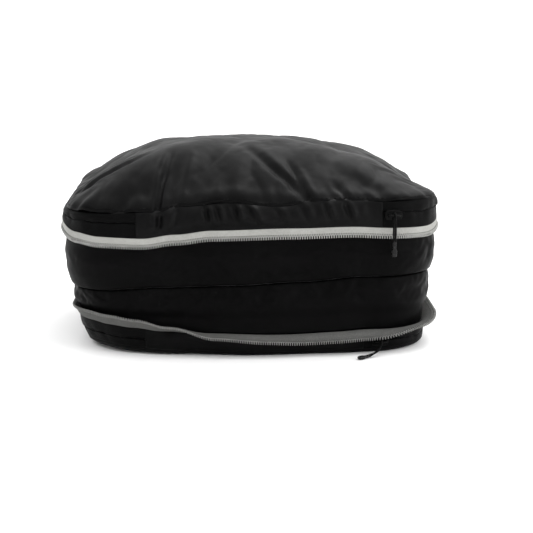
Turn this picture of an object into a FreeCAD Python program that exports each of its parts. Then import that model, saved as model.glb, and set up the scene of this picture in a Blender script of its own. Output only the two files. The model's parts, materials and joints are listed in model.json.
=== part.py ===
"""Double-sided compression packing cube, fully expanded.

Millimetres. +Z up, +X to the right, the fabric-hinge side faces -Y.
Origin: the middle of the footprint, on the surface the cube stands on.

Bottom flap and lid open on hinges along the front. The body between them is a lower frame, a divider
fold and an upper frame, which slide together when the compression zipper draws the gusset in.
"""
import FreeCAD, Part

import math
import os

from FreeCAD import Vector

# ---- driving dimensions -------------------------------------------------------------------------
# outlines are rounded rectangles: width along X, depth along Y, corner radius
TOP = (240.0, 180.0, 38.0)
BASE = (226.0, 168.0, 36.0)
CREASE = (231.0, 173.0, 37.0)
BULGE_UPPER = (237.6, 177.6, 37.4)
BULGE_LOWER = (233.0, 174.6, 37.4)

CLOTH = 0.8            # gusset, lid and bottom fabric with its lining
DIVIDER = 0.6          # divider cloth, whose edge shows as the fold between the gussets
TAPE = 0.6             # zipper tape and front hinge panels
BINDING = 2.0          # bias binding over a seam allowance
CLEAR = 0.3            # gap between bodies that move past each other

BOTTOM_TOP = 1.0       # upper face of the bottom panel
LOWER_SEAM_Z = 15.0    # base band meets the lower gusset
CREASE_Z = 46.0        # fold at half height, where the divider is sewn in
UPPER_SEAM_Z = 79.0    # upper gusset meets the lid band
LID_SEAM_Z = 96.0      # lid band meets the top panel
CROWN = 34.0           # height of the lid's dome above its seam
DOME_POWER = 2.6       # how full the dome is towards its edges
DOME_SQUARE = 6.0      # how square its level curves are

RIM_GAP = 0.9          # outline to binding at the lid's and the base's rim
RIM_BINDING = 2.8      # height of those two bindings
FRAME_GAP = 1.2        # outline to binding at the lower frame and the divider
UPPER_FRAME_GAP = 2.4  # the upper gusset bulges inward of its outline here
FRAME_BINDING = (2.5, 2.0)   # reach of a frame's binding below and above its seam
FOLD_BINDING = 2.7     # height of the divider's binding
CUT_OUT = 10.0         # a cutting box reaches this far outside a face
CUT_IN = 20.0          # and this far inside it

COIL_TALL = 2.0        # height of one half coil of a chain
CHAIN_GAP = 1.4        # between the two half coils of a closed chain
COIL_IN = 0.5          # a coil's reach inside and outside the tape's outer face
COIL_OUT = 1.2
LID_CHAIN_Z = 88.7     # centre lines of the two compartment zippers
BASE_CHAIN_Z = 7.7
ZIP_LEFT = -69.0       # where both compartment zippers end on the left of the front
LID_ZIP_RIGHT = 78.6   # and on the right, beside the parked sliders
BASE_ZIP_RIGHT = 73.0

TAPE_LAP = 1.5         # how far a compression tape is sewn over the band
UPPER_COIL_Z = (70.8, 72.8)
LOWER_COIL_Z = (20.5, 22.5)
UPPER_LEAN = 0.9       # how far outside the lid band the upper tape's free edge hangs
LOWER_LEAN = -1.2      # the lower tape's free edge against the top outline
COMPRESSION_COIL = 1.6
BOX_END_X = -3.2       # compression tapes stop here at the back, beside the retainer box
PIN_END_X = -18.0
FAR_END_X = 8.0        # and start again here
BOX_WALL = 0.3         # of the retainer box, around the coil
BOX_REACH = (1.8, 1.0)       # below and above the coil
PIN_LENGTH = 2.5
STOP_LENGTH = 1.5      # top stops of the compression zipper
END_STOP = (0.1, 1.0)  # a compartment zipper's end stop, from the coil's end outward

SLIDER_LENGTH = 11.0
SLIDER_TALL = 7.0
PLATE = 1.2
SLIDER_AIR = 0.3       # between plates and coil
WEB_TALL = 0.8         # post between the plates, in the chain's gap
WEB_LENGTH = 3.0
LIP = 0.6
BAR_RADIUS = 0.75      # bridge bar that carries the pull
BAR_STANDOFF = 2.55    # bar axis above the outer plate
LEG = 1.2
BRIDGE_LENGTH = 7.0
LID_SLIDER_X = 86.0
BASE_SLIDER_X = 80.0
COMPRESSION_SLIDER_X = -9.5
WINDOW_MARGIN = 2.0    # free room beside a parked slider
WINDOW_TALL = 4.5      # free room above the chain's centre line

CORD = 1.2             # diameter of the pull cords
LOOP_REACH = 1.55      # cord axis from bar axis
TIP = (3.4, 2.2, 9.5)  # width, thickness, length of a moulded pull tip
TIP_GRIP = 0.6         # how far the cord runs into its tip
FRONT_DROP = 16.0      # bar axis to tip, lid pull
BACK_DROP = 12.5       # the same, compression pull
FLOOR_AIR = 0.2        # under the base pull's tip

UP = Vector(0, 0, 1)


# ---- shared shapes ------------------------------------------------------------------------------
def grown(outline, by):
    """The same rounded rectangle, moved outward all round."""
    width, depth, radius = outline
    return width + 2 * by, depth + 2 * by, radius + by


def outline_wire(outline, z):
    width, depth, radius = outline
    x, y = width / 2, depth / 2
    turns = [(x - radius, y - radius, 0), (radius - x, y - radius, 90),
             (radius - x, radius - y, 180), (x - radius, radius - y, 270)]
    arcs = []
    for cx, cy, start in turns:
        circle = Part.Circle(Vector(cx, cy, z), UP, radius)
        arcs.append(circle.toShape(math.radians(start), math.radians(start + 90)))
    edges = []
    for arc, following in zip(arcs, arcs[1:] + arcs[:1]):
        edges.append(arc)
        edges.append(Part.LineSegment(arc.lastVertex().Point, following.firstVertex().Point).toShape())
    return Part.Wire(edges)


def prism(outline, low, high):
    return Part.Face(outline_wire(outline, low)).extrude(Vector(0, 0, high - low))


def ring(outline, inner, outer, low, high):
    """An upright band between two offsets of an outline."""
    return prism(grown(outline, outer), low, high).cut(prism(grown(outline, inner), low - 1, high + 1))


def skin(stations, thick, ruled):
    """A wall through rounded outlines at several heights, hollow inside."""
    outer = [outline_wire(outline, z) for outline, z in stations]
    inner = [outline_wire(grown(outline, -thick), z) for outline, z in stations]
    return Part.makeLoft(outer, True, ruled).cut(Part.makeLoft(inner, True, ruled))


def box(x, y, z):
    """A box from three (low, high) pairs."""
    size = [high - low for low, high in (x, y, z)]
    return Part.makeBox(size[0], size[1], size[2], Vector(x[0], y[0], z[0]))


def front_box(x_low, x_high, outline, low, high):
    """Room across the front side of an outline, between two heights."""
    depth = outline[1] / 2
    return box((x_low, x_high), (-depth - CUT_OUT, -depth + CUT_IN), (low, high))


def save(name, shape):
    solids = shape.Solids
    for solid in solids:
        if not solid.isValid():
            raise ValueError(f"{name} has an invalid solid")
    result = solids[0] if len(solids) == 1 else Part.makeCompound(solids)
    result.exportStep(f"parts/{name}.step")
    print(f"{name}: {len(solids)} solid, {sum(s.Volume for s in solids):.0f} mm3")


# ---- panels and bindings ------------------------------------------------------------------------
def dome_height(x, y):
    """Height of the lid's outer face above its seam: a superellipse crown."""
    across = (2 * abs(x) / TOP[0]) ** DOME_SQUARE + (2 * abs(y) / TOP[1]) ** DOME_SQUARE
    return CROWN * (1 - across ** (DOME_POWER / DOME_SQUARE))


def top_panel():
    """Domed lid fabric, cut to the top outline."""
    steps = 20
    reach_x, reach_y = TOP[0] / 2 + 2, TOP[1] / 2 + 2
    grid = []
    for i in range(steps + 1):
        x = reach_x * (2 * i / steps - 1)
        row = []
        for j in range(steps + 1):
            y = reach_y * (2 * j / steps - 1)
            row.append(Vector(x, y, LID_SEAM_Z + CLOTH + dome_height(x, y)))
        grid.append(row)
    surface = Part.BSplineSurface()
    surface.interpolate(grid)
    sheet = surface.toShape()
    below = sheet.extrude(Vector(0, 0, -3 * CROWN))
    inner = sheet.translated(Vector(0, 0, -CLOTH)).extrude(Vector(0, 0, -3 * CROWN))
    filled = prism(TOP, LID_SEAM_Z, LID_SEAM_Z + 2 * CROWN).common(below)
    hollow = prism(grown(TOP, -CLOTH), LID_SEAM_Z - 1, LID_SEAM_Z + 2 * CROWN).common(inner)
    return filled.cut(hollow)


def bottom_panel():
    return prism(BASE, 0, BOTTOM_TOP)


def divider_panel():
    return prism(CREASE, CREASE_Z - DIVIDER / 2, CREASE_Z + DIVIDER / 2)


def gusset_lower():
    stations = [(BASE, LOWER_SEAM_Z), (BULGE_LOWER, (LOWER_SEAM_Z + CREASE_Z) / 2),
                (CREASE, CREASE_Z - DIVIDER / 2 - CLEAR)]
    return skin(stations, CLOTH, False)


def gusset_upper():
    stations = [(CREASE, CREASE_Z + DIVIDER / 2 + CLEAR), (BULGE_UPPER, 0.5 * (CREASE_Z + UPPER_SEAM_Z)),
                (BULGE_UPPER, UPPER_SEAM_Z - CLEAR)]
    return skin(stations, CLOTH, False)


def binding(outline, gap, low, high):
    """Bias tape on the inside of a seam."""
    return ring(outline, -gap - BINDING, -gap, low, high)


# ---- zippers ------------------------------------------------------------------------------------
def three_sides(band, outline, right, low, high):
    """A band without its stretch between the zipper's two ends on the front."""
    return band.cut(front_box(ZIP_LEFT, right, outline, low - 1, high + 1))


def half_tape(outline, right, low, high):
    return three_sides(ring(outline, -TAPE, 0, low, high), outline, right, low, high)


def half_coil(outline, right, low):
    high = low + COIL_TALL
    return three_sides(ring(outline, -COIL_IN, COIL_OUT, low, high), outline, right, low, high)


def front_panel(outline, right, low, high):
    """The hinge fabric between the two ends of a compartment zipper."""
    band = ring(outline, -TAPE, 0, low, high)
    return band.common(front_box(ZIP_LEFT, right, outline, low, high))


def end_stops(outline, right, low):
    """Crimped stops just outside a half coil's two ends."""
    high = low + COIL_TALL
    band = ring(outline, COIL_OUT - TAPE, COIL_OUT + TAPE, low, high)
    near, far = END_STOP
    ends = [(ZIP_LEFT - far, ZIP_LEFT - near), (right + near, right + far)]
    ledges = [band.common(front_box(a, b, outline, low, high)) for a, b in ends]
    return [ledge.cut(ring(outline, -COIL_IN, COIL_OUT, low - 1, high + 1)) for ledge in ledges]


def slider_window(outline, slider_x, chain_z):
    """Room for a parked slider in the half tape that opens away from it."""
    half = SLIDER_LENGTH / 2 + WINDOW_MARGIN
    return front_box(slider_x - half, slider_x + half, outline, chain_z, chain_z + WINDOW_TALL)


def back_gap(x_low, x_high, low, high):
    """Room across the back, between the ends of a compression tape."""
    depth = TOP[1] / 2
    return box((x_low, x_high), (depth - CUT_IN, depth + CUT_OUT), (low, high))


def compression_tape(sewn_outline, sewn_z, free_outline, free_z):
    """Half tape: lies on the band along its sewn edge and leans out to its free edge."""
    lap_z = sewn_z + math.copysign(TAPE_LAP, sewn_z - free_z)
    stations = [(grown(sewn_outline, TAPE), lap_z), (grown(sewn_outline, TAPE), sewn_z),
                (grown(free_outline, TAPE), free_z)]
    stations.sort(key=lambda station: station[1])
    return skin(stations, TAPE, True)


def compression_coil(free_outline, heights):
    return ring(free_outline, 0, COMPRESSION_COIL, heights[0], heights[1])


# ---- sliders and pulls --------------------------------------------------------------------------
def plate(face, out_from, out_to, half_length, low, high):
    """A plate along the tape's face: flat on a straight side, concentric round a corner."""
    x, y, bend = face
    if bend == 0:
        return box((x - half_length, x + half_length), (y - out_to, y - out_from), (low, high))
    spread = math.degrees(half_length / bend)
    centre = Vector(x, y + bend, low)
    outer = Part.makeCylinder(bend + out_to, high - low, centre, UP, 2 * spread)
    inner = Part.makeCylinder(bend + out_from, high - low, centre, UP, 360)
    piece = outer.cut(inner)
    piece.rotate(centre, UP, 270 - spread)
    return piece


def slider(face, chain_z, coil_in, coil_out):
    """Two plates, a post between them, turned lips, and the bridge that carries the pull."""
    x, y, _ = face
    low, high = chain_z - SLIDER_TALL / 2, chain_z + SLIDER_TALL / 2
    half = SLIDER_LENGTH / 2
    face_out = coil_out + SLIDER_AIR
    face_in = coil_in - SLIDER_AIR
    top_of_plate = face_out + PLATE
    body = plate(face, face_out, top_of_plate, half, low, high)
    body = body.fuse(plate(face, face_in - PLATE * 0.75, face_in, half, low, high))
    post = plate(face, face_in - 0.1, face_out + 0.1, WEB_LENGTH / 2,
                 chain_z - WEB_TALL / 2, chain_z + WEB_TALL / 2)
    body = body.fuse(post)
    for lip_low in (low, high - LIP):
        body = body.fuse(plate(face, face_out - LIP, face_out + 0.1, half - 1, lip_low, lip_low + LIP))
    bar_y = y - top_of_plate - BAR_STANDOFF
    start = Vector(x - BRIDGE_LENGTH / 2, bar_y, chain_z)
    body = body.fuse(Part.makeCylinder(BAR_RADIUS, BRIDGE_LENGTH, start, Vector(1, 0, 0)))
    for leg_x in (x - BRIDGE_LENGTH / 2, x + BRIDGE_LENGTH / 2 - LEG):
        leg = box((leg_x, leg_x + LEG), (bar_y, y - top_of_plate + 0.3),
                  (chain_z - BAR_RADIUS, chain_z + BAR_RADIUS))
        body = body.fuse(leg)
    return body.removeSplitter(), Vector(x, bar_y, chain_z)


def cord_tube(name, points):
    """A cord along straight runs joined by tangent arcs, as large as the runs allow."""
    edges = []
    at = points[0]
    radii = []
    length = 0
    for before, corner, after in zip(points, points[1:], points[2:]):
        arrive = (corner - before).normalize()
        leave = (after - corner).normalize()
        half_turn = arrive.getAngle(leave) / 2
        run = min((corner - before).Length, (after - corner).Length)
        setback = 0.45 * run
        radius = setback / math.tan(half_turn)
        first, last = corner - arrive * setback, corner + leave * setback
        inward = (leave - arrive).normalize()
        middle = corner + inward * (radius / math.cos(half_turn) - radius)
        edges.append(Part.LineSegment(at, first).toShape())
        edges.append(Part.Arc(first, middle, last).toShape())
        length += (first - at).Length + radius * 2 * half_turn
        radii.append(radius)
        at = last
    edges.append(Part.LineSegment(at, points[-1]).toShape())
    length += (points[-1] - at).Length
    profile = Part.Wire(Part.Circle(points[0], points[1] - points[0], CORD / 2).toShape())
    tube = Part.Wire(edges).makePipeShell([profile], True, False)
    expected = math.pi * (CORD / 2) ** 2 * length
    print(f"{name}: cord {length:.1f} mm, volume {tube.Volume:.2f} of {expected:.2f} mm3,",
          "radii", ", ".join(f"{radius:.1f}" for radius in radii))
    return tube


def pull_tip():
    """Moulded tip, hanging: its cord end at the origin, its length down -Z."""
    width, thick, long = TIP
    tip = box((-width / 2, width / 2), (-thick / 2, thick / 2), (-long, 0))
    upright = [e for e in tip.Edges if abs(e.tangentAt(e.FirstParameter).z) > 0.9]
    tip = tip.makeFillet(thick * 0.4, upright)
    ends = [e for e in tip.Edges if e.BoundBox.ZLength < 0.01]
    return tip.makeFillet(0.5, ends)


def hanging_pull(name, bar, drop):
    """A loop round the bridge bar, its strands turning side by side into the tip."""
    reach = LOOP_REACH
    half = drop / 2
    one_side = [Vector(-0.7, 0, -drop - TIP_GRIP), Vector(-0.6, 0.9, -half - 1.5),
                Vector(-0.25, 1.5, -3), Vector(0, reach, reach)]
    other_side = [Vector(-p.x, -p.y, p.z) for p in reversed(one_side)]
    cord = cord_tube(name, [bar + p for p in one_side + other_side])
    tip = pull_tip().translated(bar + Vector(0, 0, -drop))
    return cord, tip


def lying_pull(name, bar):
    """The same loop with its tip lying on the floor, out to the front and to the left."""
    route = [Vector(-9.8, -7.6, -6.2), Vector(-5.4, -5.7, -5.6), Vector(-2.0, -2.9, -4.4),
             Vector(-0.2, 0.6, -2.4), Vector(0, 2.1, -0.2), Vector(0, -0.4, 2.2),
             Vector(-0.4, -3.4, -0.6), Vector(-2.9, -5.9, -3.2), Vector(-5.9, -7.7, -5.0),
             Vector(-9.2, -8.9, -6.2)]
    cord = cord_tube(name, [bar + p for p in route])
    tip = pull_tip()
    tip.rotate(Vector(), UP, 90)
    tip.rotate(Vector(), Vector(0, 1, 0), 90)
    tip.rotate(Vector(), UP, 30)
    tip.translate(bar + Vector(-9.0, -7.95, TIP[1] / 2 + FLOOR_AIR - BASE_CHAIN_Z))
    return cord, tip


def turned(shape, centre, degrees):
    """The shape after a turn about an upright axis."""
    return shape.rotated(centre, UP, degrees)


def corner_centre(outline):
    """Centre of the right front corner's arc."""
    width, depth, radius = outline
    return Vector(width / 2 - radius, radius - depth / 2, 0)


def on_corner(outline, x):
    """Turn about the corner's centre that brings a piece from straight in front of it to x."""
    return math.degrees(math.asin((x - corner_centre(outline).x) / outline[2]))


# ---- the bodies ---------------------------------------------------------------------------------
def save_bottom_flap():
    low_coil = BASE_CHAIN_Z - CHAIN_GAP / 2 - COIL_TALL
    save("bottom_panel", bottom_panel())
    save("base_seam_binding", binding(BASE, RIM_GAP, BOTTOM_TOP, BOTTOM_TOP + RIM_BINDING))
    save("base_zipper_tape_lower", half_tape(BASE, BASE_ZIP_RIGHT, BOTTOM_TOP, low_coil))
    save("base_zipper_coil_lower", half_coil(BASE, BASE_ZIP_RIGHT, low_coil))
    save("base_zipper_stops", Part.makeCompound(end_stops(BASE, BASE_ZIP_RIGHT, low_coil)))


def save_lower_frame():
    coil_low = BASE_CHAIN_Z + CHAIN_GAP / 2
    tape_low = coil_low + COIL_TALL
    window = slider_window(BASE, BASE_SLIDER_X, BASE_CHAIN_Z)
    tape = half_tape(BASE, BASE_ZIP_RIGHT, tape_low, LOWER_SEAM_Z).cut(window)
    coil = half_coil(BASE, BASE_ZIP_RIGHT, coil_low).cut(window)
    save("base_front_panel", front_panel(BASE, BASE_ZIP_RIGHT, BOTTOM_TOP + CLEAR, LOWER_SEAM_Z))
    save("base_zipper_tape_upper", tape)
    save("base_zipper_coil_upper", coil)
    below, above = FRAME_BINDING
    save("lower_frame_binding", binding(BASE, FRAME_GAP, LOWER_SEAM_Z - below, LOWER_SEAM_Z + above))
    free = grown(TOP, LOWER_LEAN)
    gap = back_gap(PIN_END_X, FAR_END_X, 0, CREASE_Z)
    sewn = compression_tape(BASE, LOWER_SEAM_Z, free, LOWER_COIL_Z[0])
    save("compression_tape_lower", sewn.cut(gap))
    save("compression_coil_lower", compression_coil(free, LOWER_COIL_Z).cut(gap))
    rail = compression_coil(free, LOWER_COIL_Z)
    save("insertion_pin", rail.common(back_gap(PIN_END_X, PIN_END_X + PIN_LENGTH, 0, CREASE_Z)))
    save("lower_top_stop", rail.common(back_gap(FAR_END_X - STOP_LENGTH, FAR_END_X, 0, CREASE_Z)))
    save("gusset_lower", gusset_lower())


def save_divider_fold():
    save("divider_panel", divider_panel())
    top_face = CREASE_Z + DIVIDER / 2
    save("divider_binding", binding(CREASE, FRAME_GAP, top_face, top_face + FOLD_BINDING))


def save_upper_frame():
    high_coil = LID_CHAIN_Z - CHAIN_GAP / 2
    low_coil = high_coil - COIL_TALL
    save("gusset_upper", gusset_upper())
    below, above = FRAME_BINDING
    inside = binding(TOP, UPPER_FRAME_GAP, UPPER_SEAM_Z - below, UPPER_SEAM_Z + above)
    save("upper_frame_binding", inside)
    save("lid_front_panel", front_panel(TOP, LID_ZIP_RIGHT, UPPER_SEAM_Z, LID_SEAM_Z - CLEAR))
    save("lid_zipper_tape_lower", half_tape(TOP, LID_ZIP_RIGHT, UPPER_SEAM_Z, low_coil))
    save("lid_zipper_coil_lower", half_coil(TOP, LID_ZIP_RIGHT, low_coil))
    save("lid_zipper_stops", Part.makeCompound(end_stops(TOP, LID_ZIP_RIGHT, low_coil)))
    free = grown(TOP, UPPER_LEAN)
    gap = back_gap(BOX_END_X, FAR_END_X, CREASE_Z, LID_SEAM_Z)
    sewn = compression_tape(TOP, UPPER_SEAM_Z, free, UPPER_COIL_Z[1])
    save("compression_tape_upper", sewn.cut(gap))
    save("compression_coil_upper", compression_coil(free, UPPER_COIL_Z).cut(gap))
    below, above = BOX_REACH
    rail = ring(free, -BOX_WALL, COMPRESSION_COIL + BOX_WALL, UPPER_COIL_Z[0] - below, UPPER_COIL_Z[1] + above)
    save("retainer_box", rail.common(back_gap(BOX_END_X, 0, CREASE_Z, LID_SEAM_Z)))
    stop = compression_coil(free, UPPER_COIL_Z)
    save("upper_top_stop", stop.common(back_gap(FAR_END_X - STOP_LENGTH, FAR_END_X, CREASE_Z, LID_SEAM_Z)))


def save_lid():
    coil_low = LID_CHAIN_Z + CHAIN_GAP / 2
    tape_low = coil_low + COIL_TALL
    window = slider_window(TOP, LID_SLIDER_X, LID_CHAIN_Z)
    save("top_panel", top_panel())
    save("lid_seam_binding", binding(TOP, RIM_GAP, LID_SEAM_Z - RIM_BINDING, LID_SEAM_Z))
    save("lid_zipper_tape_upper", half_tape(TOP, LID_ZIP_RIGHT, tape_low, LID_SEAM_Z).cut(window))
    save("lid_zipper_coil_upper", half_coil(TOP, LID_ZIP_RIGHT, coil_low).cut(window))


def save_corner_slider(name, outline, x, chain_z):
    """A compartment slider parked at its zipper's right end, with its pull."""
    centre = corner_centre(outline)
    face = (centre.x, -outline[1] / 2, outline[2])
    body, bar = slider(face, chain_z, -TAPE, COIL_OUT)
    angle = on_corner(outline, x)
    save(f"{name}_slider", turned(body, centre, angle))
    return turned(Part.Vertex(bar), centre, angle).Point, bar, centre, angle


def save_sliders():
    bar_at, bar, centre, angle = save_corner_slider("lid", TOP, LID_SLIDER_X, LID_CHAIN_Z)
    cord, tip = hanging_pull("lid_pull_cord", bar, FRONT_DROP)
    save("lid_pull_cord", turned(cord, centre, angle))
    save("lid_pull_tip", turned(tip, centre, angle))
    print("lid bar at", bar_at, "turn", round(angle, 3))

    bar_at, bar, centre, angle = save_corner_slider("base", BASE, BASE_SLIDER_X, BASE_CHAIN_Z)
    cord, tip = lying_pull("base_pull_cord", bar)
    save("base_pull_cord", turned(cord, centre, angle))
    save("base_pull_tip", turned(tip, centre, angle))
    print("base bar at", bar_at, "turn", round(angle, 3))

    face = (-COMPRESSION_SLIDER_X, -TOP[1] / 2, 0)
    chain_z = UPPER_COIL_Z[0] - CHAIN_GAP / 2
    body, bar = slider(face, chain_z, UPPER_LEAN, UPPER_LEAN + COMPRESSION_COIL)
    cord, tip = hanging_pull("compression_pull_cord", bar, BACK_DROP)
    save("compression_slider", turned(body, Vector(), 180))
    save("compression_pull_cord", turned(cord, Vector(), 180))
    save("compression_pull_tip", turned(tip, Vector(), 180))
    print("compression bar at", turned(Part.Vertex(bar), Vector(), 180).Point)


os.makedirs("parts", exist_ok=True)
save_bottom_flap()
save_lower_frame()
save_divider_fold()
save_upper_frame()
save_lid()
save_sliders()
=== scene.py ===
"""Looks of the compression packing cube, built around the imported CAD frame.

Lengths here are millimetres until a mesh or a curve is made, which turns them into metres.
Most pieces follow "rails", the seams that run round the cube. A place on a rail is t, the distance in
millimetres along the top outline, counted from where the front's straight stretch starts on the left.
"""

import json
import math

import bpy
import numpy as np
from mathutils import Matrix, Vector, noise


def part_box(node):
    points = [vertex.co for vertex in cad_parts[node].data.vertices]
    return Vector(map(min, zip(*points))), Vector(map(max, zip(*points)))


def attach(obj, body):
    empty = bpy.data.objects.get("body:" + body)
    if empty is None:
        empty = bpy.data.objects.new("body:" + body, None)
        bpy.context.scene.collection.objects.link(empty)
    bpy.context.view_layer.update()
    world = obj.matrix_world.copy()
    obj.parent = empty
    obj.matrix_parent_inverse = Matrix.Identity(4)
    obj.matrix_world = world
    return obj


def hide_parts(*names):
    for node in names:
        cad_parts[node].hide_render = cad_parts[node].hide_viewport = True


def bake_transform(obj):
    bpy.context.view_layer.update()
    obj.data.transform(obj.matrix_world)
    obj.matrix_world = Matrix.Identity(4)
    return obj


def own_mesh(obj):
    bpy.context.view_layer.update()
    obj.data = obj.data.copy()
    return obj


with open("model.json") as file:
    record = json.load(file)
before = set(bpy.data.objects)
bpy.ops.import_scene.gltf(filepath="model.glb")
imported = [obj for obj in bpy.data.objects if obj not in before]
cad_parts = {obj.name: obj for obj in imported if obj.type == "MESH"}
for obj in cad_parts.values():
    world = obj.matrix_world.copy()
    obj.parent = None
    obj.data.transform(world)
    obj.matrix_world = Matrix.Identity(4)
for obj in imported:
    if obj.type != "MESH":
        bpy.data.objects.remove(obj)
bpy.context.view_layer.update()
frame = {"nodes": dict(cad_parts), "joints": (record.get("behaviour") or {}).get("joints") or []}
MM = 0.001


# ---- sizes from the frame ----
def node_box(node):
    """Lowest and highest corner of a CAD node, in millimetres."""
    return [np.array(corner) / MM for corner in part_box(node)]


def outline_of(node, radius):
    """Width, depth and corner radius of a panel's rounded rectangle."""
    low, high = node_box(node)
    return high[0] - low[0], high[1] - low[1], radius


TOP = outline_of("top_panel", 38.0)
BASE = outline_of("bottom_panel", 36.0)
CREASE = outline_of("divider_panel", 37.0)
LOWER_SEAM = node_box("base_front_panel")[1][2]
CREASE_Z = float(np.mean([corner[2] for corner in node_box("divider_panel")]))
UPPER_SEAM = node_box("lid_front_panel")[0][2]
LID_SEAM = node_box("top_panel")[0][2]
JOINTS = {joint["name"]: joint for joint in frame["joints"]}
LID_CHAIN = JOINTS["lid_pull_swing"]["pos_m"][2] / MM
BASE_CHAIN = JOINTS["base_pull_swing"]["pos_m"][2] / MM

HALF_FRONT = TOP[0] / 2 - TOP[2]
SIDES = [2 * HALF_FRONT, math.pi / 2 * TOP[2], TOP[1] - 2 * TOP[2], math.pi / 2 * TOP[2]] * 2
STARTS = np.concatenate([[0], np.cumsum(SIDES)])
ROUND = STARTS[-1]
# places on a rail
FRONT_RIGHT = STARTS[1] + SIDES[1] / 2
RIGHT = STARTS[2] + SIDES[2] / 2
BACK_RIGHT = STARTS[3] + SIDES[3] / 2
BACK = STARTS[4] + SIDES[4] / 2
BACK_LEFT = STARTS[5] + SIDES[5] / 2
LEFT = STARTS[6] + SIDES[6] / 2
FRONT_LEFT = STARTS[7] + SIDES[7] / 2


def front(x):
    """The place on a rail at x on the front."""
    return HALF_FRONT + x


ZIP_LEFT = node_box("lid_front_panel")[0][0]
LID_ZIP_RIGHT = node_box("lid_front_panel")[1][0]
BASE_ZIP_RIGHT = node_box("base_front_panel")[1][0]


# ---- rails ----
def trace(outline, t):
    """Points and outward normals in plan at places t, on any of the rounded rectangles."""
    width, depth, radius = outline
    t = np.mod(t, ROUND)
    side = np.clip(np.searchsorted(STARTS, t, side="right") - 1, 0, 7)
    share = (t - STARTS[side]) / np.array(SIDES)[side]
    x, y = width / 2 - radius, depth / 2 - radius
    centres = np.array([(x, -y), (x, y), (-x, y), (-x, -y)])
    corner = side // 2
    angle = np.radians(-90 + 90 * corner + np.where(side % 2 == 1, 90 * share, 0))
    normal = np.stack([np.cos(angle), np.sin(angle)], axis=-1)
    at = centres[corner]
    before = centres[(corner + 3) % 4]
    straight = before + (at - before) * share[..., None]
    centre = np.where((side % 2 == 0)[..., None], straight, at)
    return centre + normal * radius, normal


def around(*places):
    """A smooth function of t, going through (t, value) pairs and closing on itself."""
    places = sorted((place % ROUND, value) for place, value in places)
    knots = np.array([place for place, _ in places])
    values = np.array([value for _, value in places], float)

    def value_at(t):
        t = np.mod(np.asarray(t, float), ROUND)
        after = np.searchsorted(knots, t, side="right") % len(knots)
        start = after - 1
        span = np.mod(knots[after] - knots[start], ROUND)
        share = np.mod(t - knots[start], ROUND) / span
        eased = share * share * (3 - 2 * share)
        return values[start] + (values[after] - values[start]) * eased

    return value_at


def level(value):
    """The same value all round."""
    return around((0, value), (BACK, value))


FLAT = level(0.0)
BASE_RIM = 3.0                 # height of the seam between the bottom and the base's band
RAILS = {
    # name: outline, height, drop or rise along it, reach outward along it
    "foot": (
        BASE, 0.0, FLAT,
        around((FRONT_LEFT, -21), (front(-50), -3), (front(0), 3.5), (front(60), 0), (FRONT_RIGHT, -6),
               (RIGHT, -5), (BACK_RIGHT, -8), (BACK, -5), (BACK_LEFT, -8), (LEFT, -12))),
    "base_rim": (
        BASE, BASE_RIM,
        around((LEFT, 1.5), (FRONT_LEFT, 3.5), (front(-50), 1), (front(0), 0), (FRONT_RIGHT, 0.5),
               (BACK, 0)),
        around((FRONT_LEFT, -7), (front(-50), 3.5), (front(0), 7), (front(55), 4.5), (front(78), 1),
               (FRONT_RIGHT, -0.5), (RIGHT, 0.5), (BACK_RIGHT, -1), (BACK, -1), (BACK_LEFT, -2),
               (LEFT, -2.5))),
    "lower_seam": (
        BASE, LOWER_SEAM,
        around((LEFT, 4.5), (FRONT_LEFT, 6), (front(-95), 5), (front(-80), 3.8), (front(-60), 1.6),
               (front(-30), -0.4), (front(20), -1.5), (front(75), 0), (FRONT_RIGHT, -0.5), (RIGHT, 1),
               (BACK, 0)),
        around((LEFT, -1.5), (FRONT_LEFT, -1.5), (front(-60), 4), (front(0), 7), (front(55), 4.5),
               (front(82), 0), (FRONT_RIGHT, -0.5), (RIGHT, 0.5), (BACK_RIGHT, 0), (BACK, 0))),
    "crease": (
        CREASE, CREASE_Z,
        around((LEFT, -3.5), (FRONT_LEFT, -5), (front(-60), -2.5), (front(-10), -1.7), (front(30), 0.3),
               (front(75), 3.5), (FRONT_RIGHT, 3.5), (RIGHT, 0), (BACK, 0)),
        around((LEFT, 0.3), (BACK, 0), (front(0), 0.8))),
    "upper_seam": (
        TOP, UPPER_SEAM,
        around((LEFT, 7), (STARTS[7], 5.5), (FRONT_LEFT, -0.6), (front(-95), -2.2), (front(-68), -3.2),
               (front(-48), -0.8), (front(-25), 1.5), (front(25), 2.4), (front(60), 3.2), (front(88), 2.2),
               (FRONT_RIGHT, 1.8), (STARTS[2], 5.5), (RIGHT, 6), (BACK_RIGHT, 2), (BACK, 0),
               (BACK_LEFT, 2)),
        around((LEFT, 0.5), (FRONT_LEFT, 0), (front(0), 0), (FRONT_RIGHT, -1), (RIGHT, -2), (BACK, 0))),
    "lid_seam": (
        TOP, LID_SEAM,
        around((LEFT, -3), (FRONT_LEFT, -5.5), (front(-95), -5.4), (front(-60), -4.6), (front(-44), -1.4),
               (front(-16), 0.8), (front(16), -1.6), (front(40), 1.6), (front(58), 2), (front(80), 1),
               (FRONT_RIGHT, 1.5), (RIGHT, -2.5), (BACK_RIGHT, 0), (BACK, 0), (BACK_LEFT, 0)),
        around((LEFT, -2.0), (FRONT_LEFT, -1.6), (front(0), 0), (FRONT_RIGHT, -1.4), (RIGHT, -2.6),
               (BACK, 0))),
}


def rail(name, t, inward=0.0):
    """Points on a rail, and its outward normals, as arrays of three coordinates."""
    outline, height, rise, reach = RAILS[name]
    plan, normal = trace(outline, t)
    plan = plan + normal * (reach(t) - inward)[..., None]
    points = np.concatenate([plan, (height + rise(t))[..., None]], axis=-1)
    normals = np.concatenate([normal, np.zeros(normal.shape[:-1] + (1,))], axis=-1)
    return points, normals


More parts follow.
